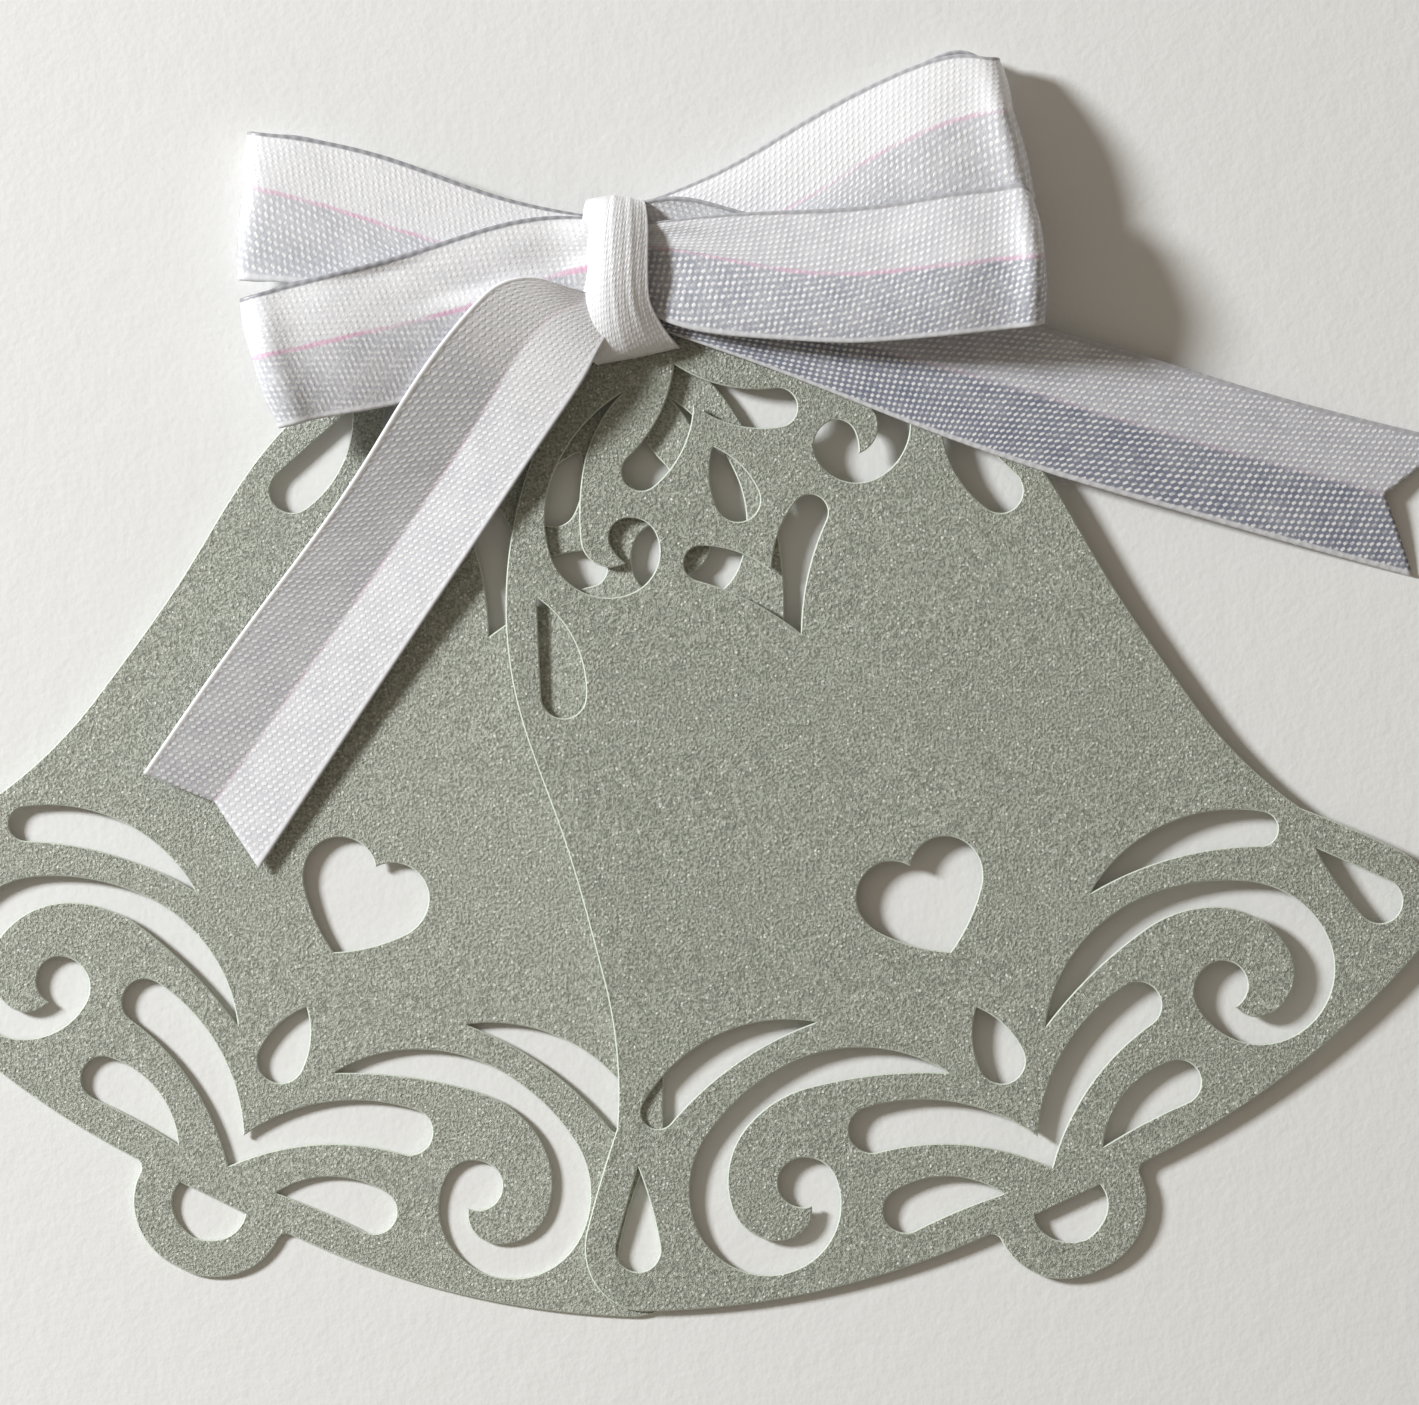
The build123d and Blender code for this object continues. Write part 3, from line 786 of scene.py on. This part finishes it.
def pearl_card(name, body_dark, body_light):
    """Card with a pearl coating: grainy, a little mottled, and with bright flecks."""
    m = Shader(name)
    place = m.millimetres()
    mottle = m.noise(place, scale=1.2, detail=3.0)
    grain = m.noise(place, scale=5.0, detail=3.0, rough=0.7)
    cells = m.node("ShaderNodeTexVoronoi", {"Vector": place, "Scale": 4.1})
    chance = m.node("ShaderNodeSeparateColor", {0: cells.outputs["Color"]}).outputs[0]
    near = m.ramp(cells.outputs["Distance"], 0.42, 0.26)
    sparkle = m.math("MULTIPLY", m.ramp(chance, 0.74, 0.86), near)
    tone = m.math("ADD", m.math("MULTIPLY", mottle, 0.12), m.math("MULTIPLY", grain, 0.88))
    body = m.mix(m.ramp(tone, 0.36, 0.64), body_dark, body_light)
    body = m.mix(m.math("MULTIPLY", sparkle, 0.95), body, FLECK)
    height = m.math("ADD", grain, m.math("MULTIPLY", chance, 0.25))
    return m.finish(Base_Color=body, Roughness=0.5, Metallic=0.0, Normal=m.bump(height, 0.36),
                    Coat_Weight=0.25, Coat_Roughness=0.35)


def cut_core_and_painted_highlight():
    """Pale core of the card where it is cut, made paler still as a painted highlight along the cut edges."""
    m = Shader("cut_core_and_painted_highlight")
    place = m.millimetres()
    body = m.mix(m.noise(place, scale=4.0), *PALE_CORE_AND_PAINTED_HIGHLIGHT)
    rough = m.bump(m.noise(place, scale=8.0), 0.04, 0.8)
    return m.finish(Base_Color=body, Roughness=0.7, Normal=rough)


def satin_floats(m, place, lines):
    """Floats of the weave: slanting rows of dots, or lines where lines says so, made brighter in places by
    a noise, as painted highlights.
    """
    dots = m.ramp(m.math("ADD", m.wave(place, 0.52, 2.28), m.wave(place, 2.28, 0.52)), -0.3, 1.3)
    slant = m.math("MULTIPLY", m.wave(place, 0.3, 2.9), 0.5)
    rows = m.ramp(m.math("ADD", m.wave(place, 2.7, 0), slant), -0.9, 1.2)
    line_share = m.math("MULTIPLY", lines, 0.8)
    floats = m.math("ADD", m.math("MULTIPLY", rows, line_share),
                    m.math("MULTIPLY", dots, m.math("SUBTRACT", 1.0, line_share)))
    # Painted highlight: a noise brightens the floats in places, standing in for the satin's glints
    painted_glint = m.ramp(m.noise(place, scale=2.2), 0.32, 0.62, 0.35, 1.2)
    return m.math("MULTIPLY", floats, painted_glint, clamp=True)


def satin():
    """Woven satin: white floats, partly a painted highlight, on a ground in painted shade by halves, a pink
    thread at the crease, and ribbed edges in painted shade.
    """
    m = Shader("satin")
    place = m.node("ShaderNodeAttribute", attribute_name="weave").outputs["Vector"]
    across = m.node("ShaderNodeSeparateXYZ", {0: place}).outputs[1]
    # The tone attribute carries each point's painted shade of the ground, its weave lines, its pink thread
    # and the painted shade of its edge
    tone = m.node("ShaderNodeAttribute", attribute_name="tone")
    dark, lines, pink = m.node("ShaderNodeSeparateColor", {0: tone.outputs["Color"]}).outputs
    floats = satin_floats(m, place, lines)
    wander = m.noise(place, scale=0.45)

    # Painted shade: the ground of each half is made darker by its painted shade amount, which a noise makes
    # wander a little
    painted_ground_shade = m.math("MULTIPLY_ADD", m.math("SUBTRACT", wander, 0.5), 0.5, dark, clamp=True)
    cloth = m.mix(floats, m.mix(painted_ground_shade, *GROUND_AND_PAINTED_SHADE), FLOAT_WHITE_AND_PAINTED_HIGHLIGHT)

    edge = m.ramp(m.math("SUBTRACT", HALF, m.math("ABSOLUTE", across)), 0.45, 0.30)
    rib = m.math("MULTIPLY_ADD", m.wave(place, 1.25, 0), 0.5, 0.5)
    # Painted shade on the ribbon's edge: each edge is mixed from white towards the shade colour by its
    # painted amount
    hem = m.mix(tone.outputs["Alpha"], *HEM_AND_PAINTED_SHADE)
    cloth = m.mix(m.math("MULTIPLY", edge, m.math("MULTIPLY_ADD", rib, -0.25, 1.0)), cloth, hem)

    off = m.math("ABSOLUTE", m.math("ADD", across, m.math("MULTIPLY_ADD", wander, 0.3, -0.15)))
    patch = m.math("MULTIPLY_ADD", m.ramp(m.noise(place, scale=0.22, detail=3.0), 0.35, 0.60), 0.7, 0.3)
    thread = m.math("MULTIPLY", m.ramp(off, 0.22, 0.09), m.math("MULTIPLY", pink, patch))
    cloth = m.mix(thread, cloth, PINK_THREAD)

    weave_height = m.math("MULTIPLY", floats, m.math("SUBTRACT", 1.0, edge))
    height = m.math("ADD", weave_height, m.math("MULTIPLY", m.math("MULTIPLY", rib, edge), 0.5))
    return m.finish(Base_Color=cloth, Roughness=0.38, Normal=m.bump(height, 0.024), Sheen_Weight=0.2,
                    Sheen_Roughness=0.4, Specular_IOR_Level=0.6)


def floor_paper():
    """White sheet with a faint felt texture."""
    m = Shader("floor_paper")
    place = m.millimetres()
    fine = m.math("MULTIPLY", m.noise(place, scale=2.2), 0.4)
    height = m.math("ADD", m.noise(place, scale=0.55, detail=3.0), fine)
    return m.finish(Base_Color=SHEET, Roughness=0.85, Normal=m.bump(height, 0.07, 0.6))


# The cut walls get the pale core, partly a painted highlight along the cut edges
core_and_highlight_look = cut_core_and_painted_highlight()
# The rear bell's pearl is painted lighter than the front's, as painted light
for bell, node, pearl in ((rear, "rear_bell", REAR_PEARL_PAINTED_LIGHTER), (front, "front_bell", FRONT_PEARL)):
    bell.data.materials.append(pearl_card(node + "_pearl", *pearl))
    bell.data.materials.append(core_and_highlight_look)
    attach(bell, "root")
    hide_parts(node)

bow.data.materials.append(satin())
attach(bow, "root")
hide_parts("ribbon_bow")

FLOOR_HALF = 900
floor_sides = ((-1, -1), (1, -1), (1, 1), (-1, 1))
floor_corners = [(x * FLOOR_HALF * MM, y * FLOOR_HALF * MM, 0) for x, y in floor_sides]
floor_mesh = bpy.data.meshes.new("floor")
floor_mesh.from_pydata(floor_corners, [], [(0, 1, 2, 3)])
floor_mesh.materials.append(floor_paper())
add_object("floor", floor_mesh)

# Key light: a window to the left and a little above, low over the sheet
KEY_AWAY = 720
KEY_HEADING = math.radians(158)
KEY_ELEVATION = math.radians(30)
KEY_SIZE = 150
KEY_WATTS = 7.2
KEY_COLOUR = (0.96, 0.985, 1.0)
KEY_AIM = (-60, -330, 0)
key = bpy.data.lights.new("key", "AREA")
key.shape = "DISK"
key.size = KEY_SIZE * MM
key.energy = KEY_WATTS
key.color = KEY_COLOUR
key_object = add_object("key", key)
key_way = Vector((math.cos(KEY_HEADING) * math.cos(KEY_ELEVATION),
                  math.sin(KEY_HEADING) * math.cos(KEY_ELEVATION),
                  math.sin(KEY_ELEVATION)))
key_object.location = key_way * KEY_AWAY * MM
key_aim = Vector(KEY_AIM) * MM
key_object.rotation_euler = (key_object.location - key_aim).to_track_quat("Z", "Y").to_euler()

# Light of the room from all sides
ROOM_COLOUR = (1.0, 0.88, 0.72, 1)
ROOM_STRENGTH = 0.24
world = bpy.data.worlds.new("room")
world.use_nodes = True
background = world.node_tree.nodes["Background"]
background.inputs["Color"].default_value = ROOM_COLOUR
background.inputs["Strength"].default_value = ROOM_STRENGTH
bpy.context.scene.world = world
bpy.context.scene.view_settings.view_transform = "Standard"

# Nearest and farthest that the camera sees, in metres
CAMERA_NEAR = 0.01
CAMERA_FAR = 10
camera = bpy.data.cameras.new("camera")
camera.sensor_width = SENSOR
camera.lens = SENSOR * CAMERA_HEIGHT * PIXELS_PER_MM / PHOTO_SIZE[0]
camera.clip_start = CAMERA_NEAR
camera.clip_end = CAMERA_FAR
camera_object = add_object("camera", camera)
camera_object.location = Vector((camera_place[0], camera_place[1], CARD_TOP + CAMERA_HEIGHT)) * MM
bpy.context.scene.camera = camera_object
